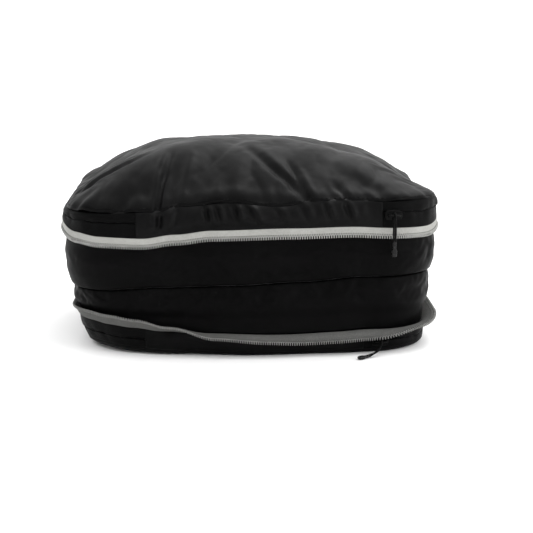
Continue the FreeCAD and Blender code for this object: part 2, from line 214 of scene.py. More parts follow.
def places(start, end, step):
    """Evenly spaced places from start round to end."""
    span = np.mod(end - start, ROUND) or ROUND
    return start + np.linspace(0, span, max(2, int(round(span / step)) + 1))


def all_round(step):
    """Evenly spaced places for a closed ring, from the middle of the back."""
    return BACK + np.arange(int(round(ROUND / step))) * ROUND / int(round(ROUND / step))


# ---- mesh helpers ----
def link(name, data):
    """A new object in the scene."""
    piece = bpy.data.objects.new(name, data)
    bpy.context.scene.collection.objects.link(piece)
    return piece


def new_piece(name, vertices, faces):
    """A smooth mesh object from points in millimetres."""
    mesh = bpy.data.meshes.new(name)
    mesh.from_pydata((np.asarray(vertices) * MM).tolist(), [], [list(face) for face in faces])
    mesh.polygons.foreach_set("use_smooth", [True] * len(mesh.polygons))
    mesh.update()
    return link(name, mesh)


def grid_faces(rows, columns, closed=False):
    """Quads between rows of points. Closed joins the last column to the first."""
    faces = []
    for i in range(rows - 1):
        for j in range(columns if closed else columns - 1):
            k = (j + 1) % columns
            faces.append((i * columns + j, i * columns + k, (i + 1) * columns + k, (i + 1) * columns + j))
    return faces


def cup_faces(rings, sides):
    """Quads round a stack of rings, and a face over the first one."""
    return grid_faces(rings, sides, closed=True) + [tuple(range(sides))[::-1]]


def tube_faces(rings, sides):
    """Quads round a stack of rings, and a face over each end."""
    return cup_faces(rings, sides) + [tuple(range((rings - 1) * sides, rings * sides))]


def turned_over(faces):
    """The same faces, seen from their other side."""
    return [face[:1] + face[:0:-1] for face in faces]


def lattice(name, rows, closed=False):
    """A cloth of quads from an array of rows, each a line of points."""
    return new_piece(name, rows.reshape(-1, 3), grid_faces(*rows.shape[:2], closed))


def lay(piece, along, across):
    """Stores cloth coordinates in millimetres, for weaves that follow the piece."""
    values = np.stack([along.ravel(), across.ravel(), np.zeros(along.size)], axis=1)
    attribute = piece.data.attributes.new("lay", "FLOAT_VECTOR", "POINT")
    attribute.data.foreach_set("vector", values.astype(np.float32).ravel())


def modify(piece, kind, **settings):
    """Adds a modifier with its settings."""
    modifier = piece.modifiers.new(kind.lower(), kind)
    for key, value in settings.items():
        setattr(modifier, key, value)


def settled(piece):
    """Applies the piece's modifiers."""
    shown = piece.evaluated_get(bpy.context.evaluated_depsgraph_get())
    mesh = bpy.data.meshes.new_from_object(shown)
    piece.modifiers.clear()
    piece.data = mesh
    return piece


def subdivide(piece):
    """Adds one level of smoothing that keeps the corners."""
    modify(piece, "SUBSURF", levels=1, render_levels=1, boundary_smooth="PRESERVE_CORNERS")


def thicken(piece, thickness, smoothed=True, offset=-1.0):
    """Gives a cloth its thickness, inward from its face unless offset says otherwise, and smooths it."""
    if smoothed:
        subdivide(piece)
    modify(piece, "SOLIDIFY", thickness=thickness * MM, offset=offset)
    return settled(piece)


def weld(piece, distance):
    """Joins points that lie on each other."""
    modify(piece, "WELD", merge_threshold=distance * MM)
    return settled(piece)


def dress(piece, material, body=None, replaces=()):
    """Material, slot, body and the CAD nodes that the piece stands for."""
    piece.data.materials.clear()
    piece.data.materials.append(material)
    if body:
        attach(piece, body)
    if replaces:
        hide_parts(*replaces)
    return piece


def read(collection, key):
    """Three numbers for each item of a mesh's vertices or attribute."""
    values = np.zeros(len(collection) * 3)
    collection.foreach_get(key, values)
    return values.reshape(-1, 3)


def points_of(piece):
    """The piece's own vertices, in millimetres."""
    return read(piece.data.vertices, "co") / MM


def set_points(piece, points):
    """Moves the piece's vertices to points in millimetres."""
    piece.data.vertices.foreach_set("co", (points * MM).ravel())
    piece.data.update()


def unit(vectors):
    """The same directions, one unit long."""
    return vectors / np.linalg.norm(vectors, axis=1, keepdims=True)


def between(where, known, values):
    """Rows of three values at each place, interpolated from those at known places."""
    return np.stack([np.interp(where, known, values[:, axis]) for axis in range(3)], axis=1)


RELAX_FRAMES = 16
CLOTH_SETTINGS = {"quality": 6, "mass": 0.15, "tension_stiffness": 12, "compression_stiffness": 12,
                  "shear_stiffness": 4, "bending_stiffness": 0.05, "vertex_group_mass": "pinned",
                  "use_pressure": True}


def relax(piece, pinned, pressure, slack, cap):
    """Cloth simulation of a sewn panel: pinned at its seams, a little larger than its outline, pushed out."""
    start = points_of(piece)
    group = piece.vertex_groups.new(name="pinned")
    group.add([int(i) for i in pinned], 1.0, "REPLACE")
    cloth = piece.modifiers.new("cloth", "CLOTH")
    for key, value in CLOTH_SETTINGS.items():
        setattr(cloth.settings, key, value)
    cloth.settings.shrink_min = -slack
    cloth.settings.uniform_pressure_force = pressure
    cloth.settings.effector_weights.gravity = 0
    cloth.collision_settings.use_collision = False
    for number in range(1, RELAX_FRAMES + 1):
        bpy.context.scene.frame_set(number)
    shown = piece.evaluated_get(bpy.context.evaluated_depsgraph_get())
    move = read(shown.data.vertices, "co") / MM - start
    length = np.linalg.norm(move, axis=1, keepdims=True)
    piece.modifiers.remove(cloth)
    piece.vertex_groups.remove(group)
    set_points(piece, start + move * (cap * np.tanh(length / cap) / np.maximum(length, 1e-9)))
    bpy.context.scene.frame_set(1)


def normals_of(piece):
    """The normal at each of the piece's vertices."""
    return read(piece.data.vertices, "normal")


def fold_profile(points, path, valley, depth, ridge, lift, side, fade):
    """Height of a pulled fold: a valley along a path with a ridge beside it, fading towards its ends."""
    path = np.array(path, float)
    lengths = np.linalg.norm(np.diff(path, axis=0), axis=1)
    run = np.concatenate([[0], np.cumsum(lengths)])
    best = np.full(len(points), 1e9)
    signed = np.zeros(len(points))
    share = np.zeros(len(points))
    for start, end, length, begin in zip(path, path[1:], lengths, run):
        along = (end - start) / length
        offset = points - start
        reach = np.clip(offset @ along, 0, length)
        away = offset - reach[:, None] * along
        distance = np.linalg.norm(away, axis=1)
        nearer = distance < best
        turn = np.sign(along[0] * away[:, 1] - along[1] * away[:, 0])
        best = np.where(nearer, distance, best)
        signed = np.where(nearer, distance * turn, signed)
        share = np.where(nearer, (begin + reach) / run[-1], share)
    taper = np.clip(share / fade, 0, 1) * np.clip((1 - share) / 0.08 + 0.35, 0, 1)    # a fold ends short of a seam
    taper = taper * taper * (3 - 2 * taper)
    width = valley * (1.3 - 0.6 * share)
    trough = np.exp(-(signed / width) ** 2)
    crest = np.exp(-((signed - side * (width + ridge * 0.8)) / ridge) ** 2)
    return (lift * crest - depth * trough) * taper


def folded(points, folds, fade=0.7):
    """Height of a set of pulled folds."""
    height = np.zeros(len(points))
    for path, valley, depth, ridge, lift, side in folds:
        height += fold_profile(points, path, valley, depth, ridge, lift, side, fade)
    return height


def ripple(t, seed, wavelengths, sizes):
    """Small seeded waves along a seam."""
    phases = np.random.default_rng(seed).uniform(0, 2 * math.pi, len(wavelengths))
    wave = np.zeros_like(t)
    for wavelength, size, phase in zip(wavelengths, sizes, phases):
        wave = wave + size * np.sin(2 * math.pi * round(ROUND / wavelength) * t / ROUND + phase)
    return wave


def creases(points, cell, width, depth, facet, seed):
    """Pressed-in creases along a smooth noise's zero lines, with flat facets rising between them."""
    shifted = points / np.array(cell) + seed * 7.3
    values = np.array([noise.noise(Vector(point)) for point in shifted])
    return facet * (np.sqrt(values ** 2 + width ** 2) - 0.22) - depth * np.exp(-(values / width) ** 2)


# ---- materials ----
class Nodes:
    """A procedural material: its nodes are wired with short calls, in the piece's own space."""

    def __init__(self, name):
        self.material = bpy.data.materials.new(name)
        self.material.use_nodes = True
        self.tree = self.material.node_tree
        self.shader = self.tree.nodes["Principled BSDF"]
        self.place = self.add("ShaderNodeTexCoord").outputs["Object"]

    def add(self, kind, inputs=None, **settings):
        """A node with its settings, and its inputs as values or as other nodes' outputs."""
        node = self.tree.nodes.new(kind)
        for key, value in settings.items():
            setattr(node, key, value)
        for key, value in (inputs or {}).items():
            if isinstance(value, bpy.types.NodeSocket):
                self.tree.links.new(value, node.inputs[key])
            else:
                node.inputs[key].default_value = value
        return node

    def noise(self, scale, detail=2.0, vector=None):
        """Soft noise, by default in the piece's own space."""
        vector = self.place if vector is None else vector
        return self.add("ShaderNodeTexNoise", {"Scale": scale, "Detail": detail, "Vector": vector}).outputs["Fac"]

    def math(self, operation, first, second=0.0):
        """One sum, product or function of values or outputs."""
        return self.add("ShaderNodeMath", {0: first, 1: second}, operation=operation).outputs[0]

    def ramp(self, value, low, high, start=0.0, end=1.0):
        """Goes from start to end as value goes from low to high."""
        return self.add("ShaderNodeMapRange", {"Value": value, "From Min": low, "From Max": high,
                                               "To Min": start, "To Max": end}).outputs[0]

    def tint(self, value, dark, light):
        """A colour between two, by value."""
        node = self.add("ShaderNodeMix", {"Factor": value, "A": (*dark, 1), "B": (*light, 1)}, data_type="RGBA")
        return node.outputs[2]

    def threads(self, vector, pitch, first="X", second="Z"):
        """A plain weave's height: two crossed waves, a thread pitch apart in the vector's units."""
        split = self.add("ShaderNodeSeparateXYZ", {0: vector})
        rate = 2 * math.pi / pitch
        waves = [self.math("SINE", self.math("MULTIPLY", split.outputs[axis], rate)) for axis in (first, second)]
        return self.math("MULTIPLY", waves[0], waves[1])

    def bumps(self, *layers):
        """Bumps on top of each other, each a height, a strength and a distance in metres."""
        normal = {}
        for height, strength, distance in layers:
            inputs = {"Height": height, "Strength": strength, "Distance": distance, **normal}
            normal = {"Normal": self.add("ShaderNodeBump", inputs).outputs[0]}
        return normal["Normal"]

    def finish(self, color, roughness, normal=None, **values):
        """Sets the shader and returns the material."""
        for key, value in {"Base Color": color, "Roughness": roughness, "Normal": normal}.items():
            if isinstance(value, bpy.types.NodeSocket):
                self.tree.links.new(value, self.shader.inputs[key])
            elif value is not None:
                self.shader.inputs[key].default_value = value
        for key, value in values.items():
            self.shader.inputs[key.replace("_", " ")].default_value = value
        return self.material


def nylon_material(name, dark, light, specular):
    """Calendered black nylon: satin, with soft crinkles over a fine weave."""
    m = Nodes(name)
    crinkle = m.noise(55.0, 3.0)
    normal = m.bumps((crinkle, 0.16, 0.0012), (m.noise(260.0, 3.0), 0.2, 0.0003),
                     (m.threads(m.place, 0.0007), 0.12, 0.0001))
    color = m.tint(m.ramp(m.noise(24.0), 0.35, 0.65), (dark, dark, dark * 1.05), (light, light, light * 1.05))
    return m.finish(color, m.ramp(crinkle, 0.3, 0.7, 0.40, 0.52), normal, Specular_IOR_Level=specular)


def woven_material(name, dark, light, pitch, roughness, strength=0.5, specular=0.2, sheen=0.1):
    """A plain woven fabric in object space."""
    m = Nodes(name)
    weave, grain = m.threads(m.place, pitch), m.noise(420.0)
    normal = m.bumps((weave, strength, pitch * 0.25), (grain, 0.2, 0.0002))
    color = m.tint(m.ramp(m.math("ADD", m.math("MULTIPLY", weave, 0.25), grain), 0.3, 0.8), dark, light)
    rough = m.ramp(grain, 0.3, 0.7, roughness - 0.06, roughness + 0.06)
    return m.finish(color, rough, normal, Specular_IOR_Level=specular, Sheen_Weight=sheen, Sheen_Roughness=0.5)


def tape_material(name, dark, light, roughness, specular, sheen):
    """Zipper tape: ribs along its length and cross threads, from the piece's own cloth coordinates."""
    m = Nodes(name)
    ribs = m.threads(m.add("ShaderNodeAttribute", attribute_name="lay").outputs["Vector"], 0.9, "X", "Y")
    cloud, grain = m.noise(70.0, 3.0), m.noise(900.0)
    normal = m.bumps((ribs, 0.35, 0.00012), (grain, 0.25, 0.0001))
    mixed = m.math("ADD", m.math("MULTIPLY", ribs, 0.12), m.math("MULTIPLY", m.math("ADD", cloud, grain), 0.5))
    rough = m.ramp(cloud, 0.3, 0.7, roughness - 0.05, roughness + 0.05)
    return m.finish(m.tint(m.ramp(mixed, 0.3, 0.7), dark, light), rough, normal,
                    Specular_IOR_Level=specular, Sheen_Weight=sheen, Sheen_Roughness=0.6)


def plastic_material(name, dark, light, roughness, specular, coat=0.0):
    """Moulded or painted parts: slight mottling, faint handling scratches in the gloss."""
    m = Nodes(name)
    mottle = m.noise(300.0, 3.0)
    stretched = m.add("ShaderNodeMapping", {"Vector": m.place, "Scale": (1.0, 9.0, 9.0)}).outputs[0]
    rough = m.ramp(m.noise(60.0, 4.0, stretched), 0.35, 0.65, roughness - 0.07, roughness + 0.1)
    return m.finish(m.tint(m.ramp(mottle, 0.35, 0.65), dark, light), rough, m.bumps((mottle, 0.05, 0.0001)),
                    Specular_IOR_Level=specular, Coat_Weight=coat, Coat_Roughness=0.12)


def cord_material():
    """Braided cord: two thread directions wound round it."""
    m = Nodes("braided_cord")
    fuzz = m.noise(1500.0)
    normal = m.bumps((m.threads(m.place, 0.0008), 0.6, 0.0002), (fuzz, 0.3, 0.0001))
    color = m.tint(m.ramp(fuzz, 0.3, 0.7), (0.0010, 0.0010, 0.0010), (0.0035, 0.0035, 0.0036))
    return m.finish(color, 0.55, normal, Specular_IOR_Level=0.06, Sheen_Weight=0.0)


NYLON = nylon_material("black_nylon_cloth", 0.00105, 0.0020, 0.055)
# The lid's front band: the same nylon painted lighter and glossier, as painted light on its lit folds.
PAINTED_LIGHT_BAND_NYLON = nylon_material("black_band_cloth_painted_light", 0.0012, 0.0023, 0.070)
# The gusset: the same nylon painted darker, as painted shade, with a lower specular for a duller finish.
PAINTED_SHADE_GUSSET_NYLON = nylon_material("black_gusset_cloth_painted_shade", 0.0007, 0.0014, 0.036)
LINING = woven_material("lining_cloth", (0.018, 0.018, 0.019), (0.034, 0.034, 0.036), 0.0006, 0.6)
BINDING = woven_material("bias_binding", (0.010, 0.010, 0.0105), (0.022, 0.022, 0.023), 0.0009, 0.62, 0.8)
BLACK_TAPE = tape_material("black_tape", (0.0007, 0.0007, 0.0007), (0.0016, 0.0016, 0.0017), 0.5, 0.04, 0.0)
GREY_TAPE = tape_material("grey_tape", (0.25, 0.25, 0.234), (0.34, 0.34, 0.322), 0.75, 0.14, 0.03)
# The lower compression tape: the same grey tape painted darker, as painted shade under the gusset.
PAINTED_SHADE_TAPE = tape_material("grey_tape_painted_shade", (0.060, 0.060, 0.057), (0.098, 0.098, 0.094), 0.75, 0.1, 0.02)
GREY_COIL = plastic_material("grey_nylon_coil", (0.30, 0.30, 0.287), (0.40, 0.40, 0.383), 0.42, 0.35)
# The lower compression coil: the same grey coil painted darker, as painted shade under the gusset.
PAINTED_SHADE_COIL = plastic_material("grey_nylon_coil_painted_shade", (0.15, 0.15, 0.144), (0.22, 0.22, 0.21), 0.42, 0.3)
BLACK_COIL = plastic_material("black_nylon_coil", (0.010, 0.010, 0.0105), (0.020, 0.020, 0.021), 0.35, 0.4)
METAL = plastic_material("black_lacquered_metal", (0.0006, 0.0006, 0.0006), (0.0011, 0.0011, 0.0011), 0.13, 0.06)
TIP = plastic_material("moulded_tip", (0.0015, 0.0015, 0.0016), (0.003, 0.003, 0.0031), 0.25, 0.2, 0.03)
CORD = cord_material()
THREAD = woven_material("sewing_thread", (0.001, 0.001, 0.001), (0.002, 0.002, 0.002), 0.0004, 0.6, 0.8, 0.06, 0.0)
GREY_THREAD = woven_material("grey_thread", (0.045, 0.045, 0.042), (0.09, 0.09, 0.085), 0.0004, 0.6, 0.8)


# ---- lid ----
PANEL_CLOTH = 0.7              # thickness of the lid and the bottom
DOME_RISE = 31.4
DOME_CELLS = (84, 64)          # across and deep
LID_FOLDS = [
    # path in plan, valley width, depth, ridge width, lift, side of the ridge
    ([(-46, -34), (-53, -62), (-59.5, -91)], 2.1, 2.7, 2.6, 1.3, -1),
    ([(-44, -32), (-46, -58), (-51, -91)], 5.0, 1.6, 3.4, 0.9, 1),
    ([(-14, -26), (-4, -40), (10, -63), (24, -76), (34, -91)], 2.8, 1.9, 3.6, 0.9, 1),
    ([(18, -46), (24, -61), (30, -77), (35, -91)], 1.9, 1.6, 2.6, 1.0, 1),
    ([(48, -72), (54, -82), (59, -91)], 1.8, 1.3, 2.6, 0.5, 1),
    ([(44, -52), (58, -70), (80, -85)], 5.5, 0.9, 6.0, 0.5, 1),
    ([(-52, -30), (-70, -46), (-84, -52), (-108, -58)], 2.4, 1.0, 3.0, 1.4, -1),
    ([(-60, -18), (-84, -38), (-112, -46)], 2.6, 0.9, 3.4, 0.9, -1),
    ([(-66, -2), (-92, -22), (-116, -30)], 3.0, 0.8, 3.6, 0.8, -1),
    ([(-92, -60), (-100, -70), (-112, -80)], 3.0, 0.8, 4.0, 0.8, 1),
    ([(-74, -74), (-80, -84), (-84, -91)], 4.0, 1.2, 4.0, 0.8, 1),
    ([(70, 20), (92, 8), (114, -4)], 4.5, 1.0, 5.0, 0.8, 1),
    ([(60, 60), (80, 70), (100, 80)], 4.0, 1.4, 5.0, 0.9, -1),
    ([(-20, 50), (-26, 70), (-30, 91)], 4.0, 1.6, 4.0, 0.9, 1),
    ([(30, 44), (38, 70), (46, 91)], 3.2, 1.4, 4.0, 0.8, 1),
    ([(-64, 56), (-84, 72), (-100, 82)], 4.0, 1.5, 5.0, 0.9, 1),
]


def dome(plan, share):
    """Height above the lid's seam: fuller on the left, falling steadily on the right."""
    tilt = np.clip(plan[:, 0] / (TOP[0] / 2), -1, 1)
    toward_side = np.abs(plan[:, 0]) / np.maximum(np.abs(plan[:, 0]) + np.abs(plan[:, 1]) * 1.33, 1e-6)
    falling = np.clip(tilt / 0.25, 0, 1)
    left = np.clip(-tilt / 0.5, 0, 1)
    power = 3.1 - (1.45 * falling * falling * (3 - 2 * falling) + 0.6 * left) * toward_side
    return DOME_RISE * (1 - share ** power)


def lid_grid():
    """A square grid carried over to the rounded outline. Returns points, faces and share to the rim."""
    across, deep = DOME_CELLS
    u, v = np.meshgrid(np.linspace(-1, 1, across + 1), np.linspace(-1, 1, deep + 1))
    u, v = u.ravel(), v.ravel()
    share = np.maximum(np.abs(u), np.abs(v))
    safe = np.maximum(share, 1e-9)
    along_x, along_y = u / safe, v / safe
    half_corner = SIDES[1] / 2
    long_side, short_side = SIDES[0] + SIDES[1], SIDES[2] + SIDES[1]
    on_front, on_right, on_back = along_y <= -1 + 1e-9, along_x >= 1 - 1e-9, along_y >= 1 - 1e-9
    t = np.select([on_front, on_right, on_back],
                  [-half_corner + long_side * (along_x + 1) / 2, FRONT_RIGHT + short_side * (along_y + 1) / 2,
                   BACK_RIGHT + long_side * (1 - along_x) / 2], BACK_LEFT + short_side * (1 - along_y) / 2)
    rim, _ = rail("lid_seam", t)
    points = rim * share[:, None]
    points[:, 2] = LID_SEAM + (rim[:, 2] - LID_SEAM) * share ** 6
    points[:, 2] += dome(points[:, :2], share)
    return points, grid_faces(deep + 1, across + 1), share


def make_top_panel():
    """The domed lid: relaxed as cloth, then folded, crumpled and pillowed along its rim."""
    points, faces, share = lid_grid()
    piece = new_piece("top_panel_cloth", points, faces)
    inside = share < 0.999
    jitter = np.random.default_rng(11).normal(0, 0.12, len(points)) * inside
    set_points(piece, points + normals_of(piece) * jitter[:, None])
    relax(piece, np.nonzero(~inside)[0], 2.2, 0.012, 3.0)
    subdivide(piece)
    settled(piece)
    points, normals = points_of(piece), normals_of(piece)
    edge = rim_distance(points)
    pulled = turn_points(points, 14, 0, 1)
    height = folded(points[:, :2], LID_FOLDS)
    height += creases(pulled, (30, 95, 95), 0.07, 0.35, 3.0, 61) + creases(pulled, (13, 40, 40), 0.1, 0.15, 0.7, 62)
    puckers = ripple(place_of(points), 5, [17, 11, 7.3], [0.35, 0.3, 0.2])
    height += puckers * np.exp(-edge / 5) * np.clip(edge / 1.5, 0, 1)
    height += 0.9 * np.exp(-((edge - 5) / 4) ** 2)            # the pillowed edge
    height *= np.clip(edge / 2.0, 0, 1)
    set_points(piece, points + normals * height[:, None])
    thicken(piece, PANEL_CLOTH, smoothed=False)
    return dress(piece, NYLON, "lid", ["top_panel"])


def place_of(points):
    """The nearest place t on the top outline, by direction from the middle."""
    t = np.linspace(0, ROUND, 3000, endpoint=False)
    plan, _ = trace(TOP, t)
    angles = np.arctan2(plan[:, 1] / TOP[1], plan[:, 0] / TOP[0])
    order = np.argsort(angles)
    found = np.arctan2(points[:, 1] / TOP[1], points[:, 0] / TOP[0])
    index = np.searchsorted(angles[order], found) % len(order)
    return t[order][index]


def rim_distance(points):
    """Distance in plan from the top outline, inward."""
    x, y = TOP[0] / 2 - TOP[2], TOP[1] / 2 - TOP[2]
    dx, dy = np.abs(points[:, 0]) - x, np.abs(points[:, 1]) - y
    outside = np.hypot(np.maximum(dx, 0), np.maximum(dy, 0))
    inside = np.minimum(np.maximum(dx, dy), 0)
    return np.maximum(TOP[2] - outside - inside, 0)


# ---- bands, bindings and stitches ----
BAND_CLOTH = 17                # cloth between a band's two seams, as its weave counts it


def band(name, rails, t, shares, bulges):
    """Cloth between two rails. Each row has a share of the way up and a bulge outward."""
    (low, low_normal), (high, high_normal) = (rail(name, t) for name in rails)
    rows = []
    for share, bulge in zip(shares, bulges):
        bulge = bulge(t)[:, None] if callable(bulge) else bulge
        normal = low_normal + (high_normal - low_normal) * share
        rows.append(low + (high - low) * share + normal * bulge)
    piece = lattice(name, np.array(rows))
    lay(piece, np.tile(t, (len(rows), 1)), np.repeat(np.array(shares)[:, None], len(t), axis=1) * BAND_CLOTH)
    return piece


BAND_FOLDS = [
    # path in x and z on the lid's front band
    ([(-57, 97), (-58.5, 79)], 1.5, 1.8, 2.2, 1.0, -1),
    ([(-45, 97), (-50, 79)], 1.3, 0.8, 1.8, 0.5, -1),
    ([(-30.5, 97), (-26, 79)], 1.3, 1.5, 2.0, 1.0, 1),
    ([(-24, 97), (-19, 80)], 1.2, 1.2, 1.7, 0.8, 1),
    ([(-13, 97), (-8, 80)], 1.4, 1.6, 2.0, 1.0, 1),
    ([(-6, 97), (5, 80)], 1.4, 1.4, 2.0, 1.0, 1),
    ([(12, 97), (20, 81)], 1.6, 0.9, 2.2, 0.6, 1),
    ([(28, 97), (36, 80)], 1.6, 1.4, 2.2, 0.8, 1),
    ([(43, 97), (49, 80)], 1.3, 1.5, 2.0, 0.9, 1),
    ([(56, 97), (63, 79)], 1.3, 1.8, 1.9, 0.8, 1),
]
FRONT_FADE = 0.05
BAND_FOLD_SIZE = 1.35
FRONT_STARTS = 78.0            # how far out of the middle, along Y, the front's folds begin


def crumple_band(piece, folds, seed, size):
    """Pulled folds on the front and small puckers all round."""
    points, normals = points_of(piece), normals_of(piece)
    on_front = np.clip((-points[:, 1] - FRONT_STARTS) / 6, 0, 1)
    share = np.clip(read(piece.data.attributes["lay"].data, "vector")[:, 1] / BAND_CLOTH, 0, 1)
    height = BAND_FOLD_SIZE * folded(points[:, [0, 2]], folds, FRONT_FADE) * on_front
    height *= np.clip((share - 0.12) / 0.25, 0, 1) * np.clip((0.97 - share) / 0.15, 0, 1)
    middle = np.sin(np.pi * share)
    height += creases(points, (16, 16, 26), 0.08, 0.3, 1.5, seed) * middle
    height += ripple(place_of(points), seed, [23, 13, 8.5], [size, size * 0.7, size * 0.45]) * middle
    set_points(piece, points + normals * height[:, None])


SLIT = 0.14                    # between the two lips of a concealed zipper


def slit_shares(chain, low_z, high_z):
    """Share of the way up at which a band's slit starts and ends."""
    span = high_z - low_z
    return (chain - SLIT / 2 - low_z) / span, (chain + SLIT / 2 - low_z) / span


TAPE_CLOTH = 0.5
UNDERLAP = 3.0                 # how far a front panel goes on past the zipper's left end
TAPE_STEP = 1.5                # between a compartment zipper's columns of points
BAND_SHELL = 0.6               # thickness of the lid's front panel and the gusset


def make_half_tape(node, rails, t, shares, bulges, seed, size, body):
    """A compartment zipper's half tape, from its seam to its lip at the slit."""
    tape = band(f"{node}_cloth", rails, t, shares, bulges)
    crumple_band(tape, [], seed, size)
    thicken(tape, TAPE_CLOTH)
    dress(tape, BLACK_TAPE, body, [node])


def make_front_panel(node, rails, t, rows, folds, seed, size, thickness, cloth):
    """The band's cloth along the front, from one height to another."""
    shares, bulges = zip(*rows)
    panel = band(f"{node}_cloth", rails, t, shares, bulges)
    crumple_band(panel, folds, seed, size)
    thicken(panel, thickness)
    dress(panel, cloth, None, [node])
    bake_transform(panel)


def make_lid_band():
    """The lid's concealed zipper round three sides, and its gathered front."""
    rails = ("upper_seam", "lid_seam")
    low, high = slit_shares(LID_CHAIN, UPPER_SEAM, LID_SEAM)
    zip_t = places(front(LID_ZIP_RIGHT), front(ZIP_LEFT), TAPE_STEP)
    make_half_tape("lid_zipper_tape_lower", rails, zip_t,
                   [-0.05, 0.0, 0.12, 0.3, 0.42, low - 0.03, low, low, low - 0.04],
                   [0.75, 0.75, 0.8, 0.9, 0.9, 0.95, 0.7, 0.1, -0.5], 22, 0.18, "upper_frame")
    make_half_tape("lid_zipper_tape_upper", rails, zip_t,
                   [high + 0.04, high, high, high + 0.03, 0.72, 0.84, 0.95, 1.0, 1.03],
                   [-0.5, 0.1, 0.75, 0.95, 1.0, 0.8, 0.4, -0.25, -1.9], 23, 0.18, "lid")
    fullness = around((FRONT_LEFT, 2.0), (front(-66), 2.0), (front(-42), 3.6), (front(60), 3.4), (front(74), 2.0),
                      (BACK, 2.0))

    def swell(amount):
        return lambda t: fullness(t) * amount

    swollen = [(0.08, 0.45), (0.17, 0.75), (0.26, 0.95), (0.35, 1.0), (0.44, 0.98), (0.53, 0.9), (0.62, 0.8),
               (0.71, 0.68), (0.8, 0.52), (0.88, 0.35)]
    rows = [(-0.05, 0.8), (0.0, 0.9)] + [(share, swell(amount)) for share, amount in swollen]
    # The front panel takes the lighter copy of the nylon: painted light.
    make_front_panel("lid_front_panel", rails, places(front(ZIP_LEFT - UNDERLAP), front(LID_ZIP_RIGHT + 1), 1.1),
                     rows + [(0.96, 0.3), (1.0, -0.25), (1.03, -1.9)], BAND_FOLDS, 21, 0.3, BAND_SHELL, PAINTED_LIGHT_BAND_NYLON)


def make_base_band():
    """The base's concealed zipper round three sides, and its front."""
    rails = ("base_rim", "lower_seam")
    low, high = slit_shares(BASE_CHAIN, BASE_RIM, LOWER_SEAM)
    zip_t = places(front(BASE_ZIP_RIGHT), front(ZIP_LEFT), TAPE_STEP)
    make_half_tape("base_zipper_tape_lower", rails, zip_t, [-0.04, 0.1, 0.25, low - 0.03, low, low, low - 0.05],
                   [0.0, 0.35, 0.6, 0.7, 0.4, -0.1, -0.6], 32, 0.15, "bottom_flap")
    make_half_tape("base_zipper_tape_upper", rails, zip_t, [high + 0.05, high, high, high + 0.04, 0.7, 0.9, 1.0, 1.0],
                   [-0.6, -0.1, 0.4, 0.8, 0.9, 0.6, 0.1, -1.5], 33, 0.15, "lower_frame")
    rows = [(-0.04, 0.1), (0.1, 0.7), (0.25, 1.1), (0.4, 1.3), (0.55, 1.4), (0.7, 1.2), (0.85, 0.8), (0.95, 0.3),
            (1.0, 0.1), (1.0, -1.5)]
    make_front_panel("base_front_panel", rails, places(front(ZIP_LEFT - UNDERLAP), front(BASE_ZIP_RIGHT + 1), 1.2),
                     rows, [], 31, 0.15, TAPE_CLOTH, NYLON)


def make_bottom_panel():
    """The underside: flat where it rests, rounded up to the base rim."""
    t = all_round(2.2)
    (foot, _), (rim, _) = rail("foot", t), rail("base_rim", t)
    flat = np.linspace(0.04, 1, 24)
    rows = [foot * share for share in flat]
    for turn in (22, 45, 68, 90):
        a = math.radians(turn)
        rows.append(foot + (rim - foot) * np.array([math.sin(a), math.sin(a), 1 - math.cos(a)]))
    rows = np.array(rows)
    lift = np.abs(ripple(t, 42, [31, 17], [0.12, 0.08]))
    rows[:len(flat), :, 2] = lift * np.linspace(0, 1, len(flat))[:, None] ** 4
    piece = new_piece("bottom_panel_cloth", rows.reshape(-1, 3), cup_faces(*rows.shape[:2]))
    thicken(piece, PANEL_CLOTH, smoothed=False)
    return dress(piece, NYLON, "bottom_flap", ["bottom_panel"])


BIAS_CLOTH = 1.6               # thickness of a folded bias tape over its seam allowance


def make_binding(node, rail_name, inward, low, high, body):
    """Bias tape folded over a seam allowance: a rounded strip on the inside of a rail."""
    name = node.replace("binding", "bias")
    t = all_round(2.4)
    points, normal = rail(rail_name, t, inward)
    outer = [(0, low), (0.25, low + 0.5), (0.3, (low + high) / 2), (0.25, high - 0.5), (0, high)]
    section = outer + [(-BIAS_CLOTH - out, up) for out, up in reversed(outer)]
    wave = ripple(t, len(name), [19, 9], [0.12, 0.1])
    rows = [points + normal * (out + wave)[:, None] + np.array([0, 0, up]) for out, up in section]
    piece = weld(lattice(name, np.array(rows + rows[:1]), closed=True), 0.01)
    return dress(piece, BINDING, body, [node])


STITCH_SECTION = [(0.0, 0.25, -0.8), (0.12, 0.8, -0.1), (0.5, 1.0, 0.35), (0.88, 0.8, -0.1), (1.0, 0.25, -0.8)]
STITCH_SIDES = 6


def stitch_row(name, line, normal, pitch, length, radius, material, body):
    """Separate stitches lying along a line of points, as a row of small capsules."""
    run = np.concatenate([[0], np.cumsum(np.linalg.norm(np.diff(line, axis=0), axis=1))])
    starts = np.arange(pitch * 0.3, run[-1] - length, pitch)
    rings = []
    for share, size, rise in STITCH_SECTION:
        middle = between(starts + share * length, run, line)
        out = unit(between(starts + share * length, run, normal))
        side = np.cross(unit(between(starts + share * length + 0.1, run, line) - middle), out)
        for a in 2 * math.pi * np.arange(STITCH_SIDES) / STITCH_SIDES:
            rings.append(middle + out * radius * (rise + size * math.sin(a)) + side * radius * size * math.cos(a))
    vertices = np.array(rings).transpose(1, 0, 2).reshape(-1, 3)
    one = tube_faces(len(STITCH_SECTION), STITCH_SIDES)
    faces = [tuple(n * len(rings) + index for index in face) for n in range(len(starts)) for face in one]
    return dress(new_piece(name, vertices, faces), material, body)


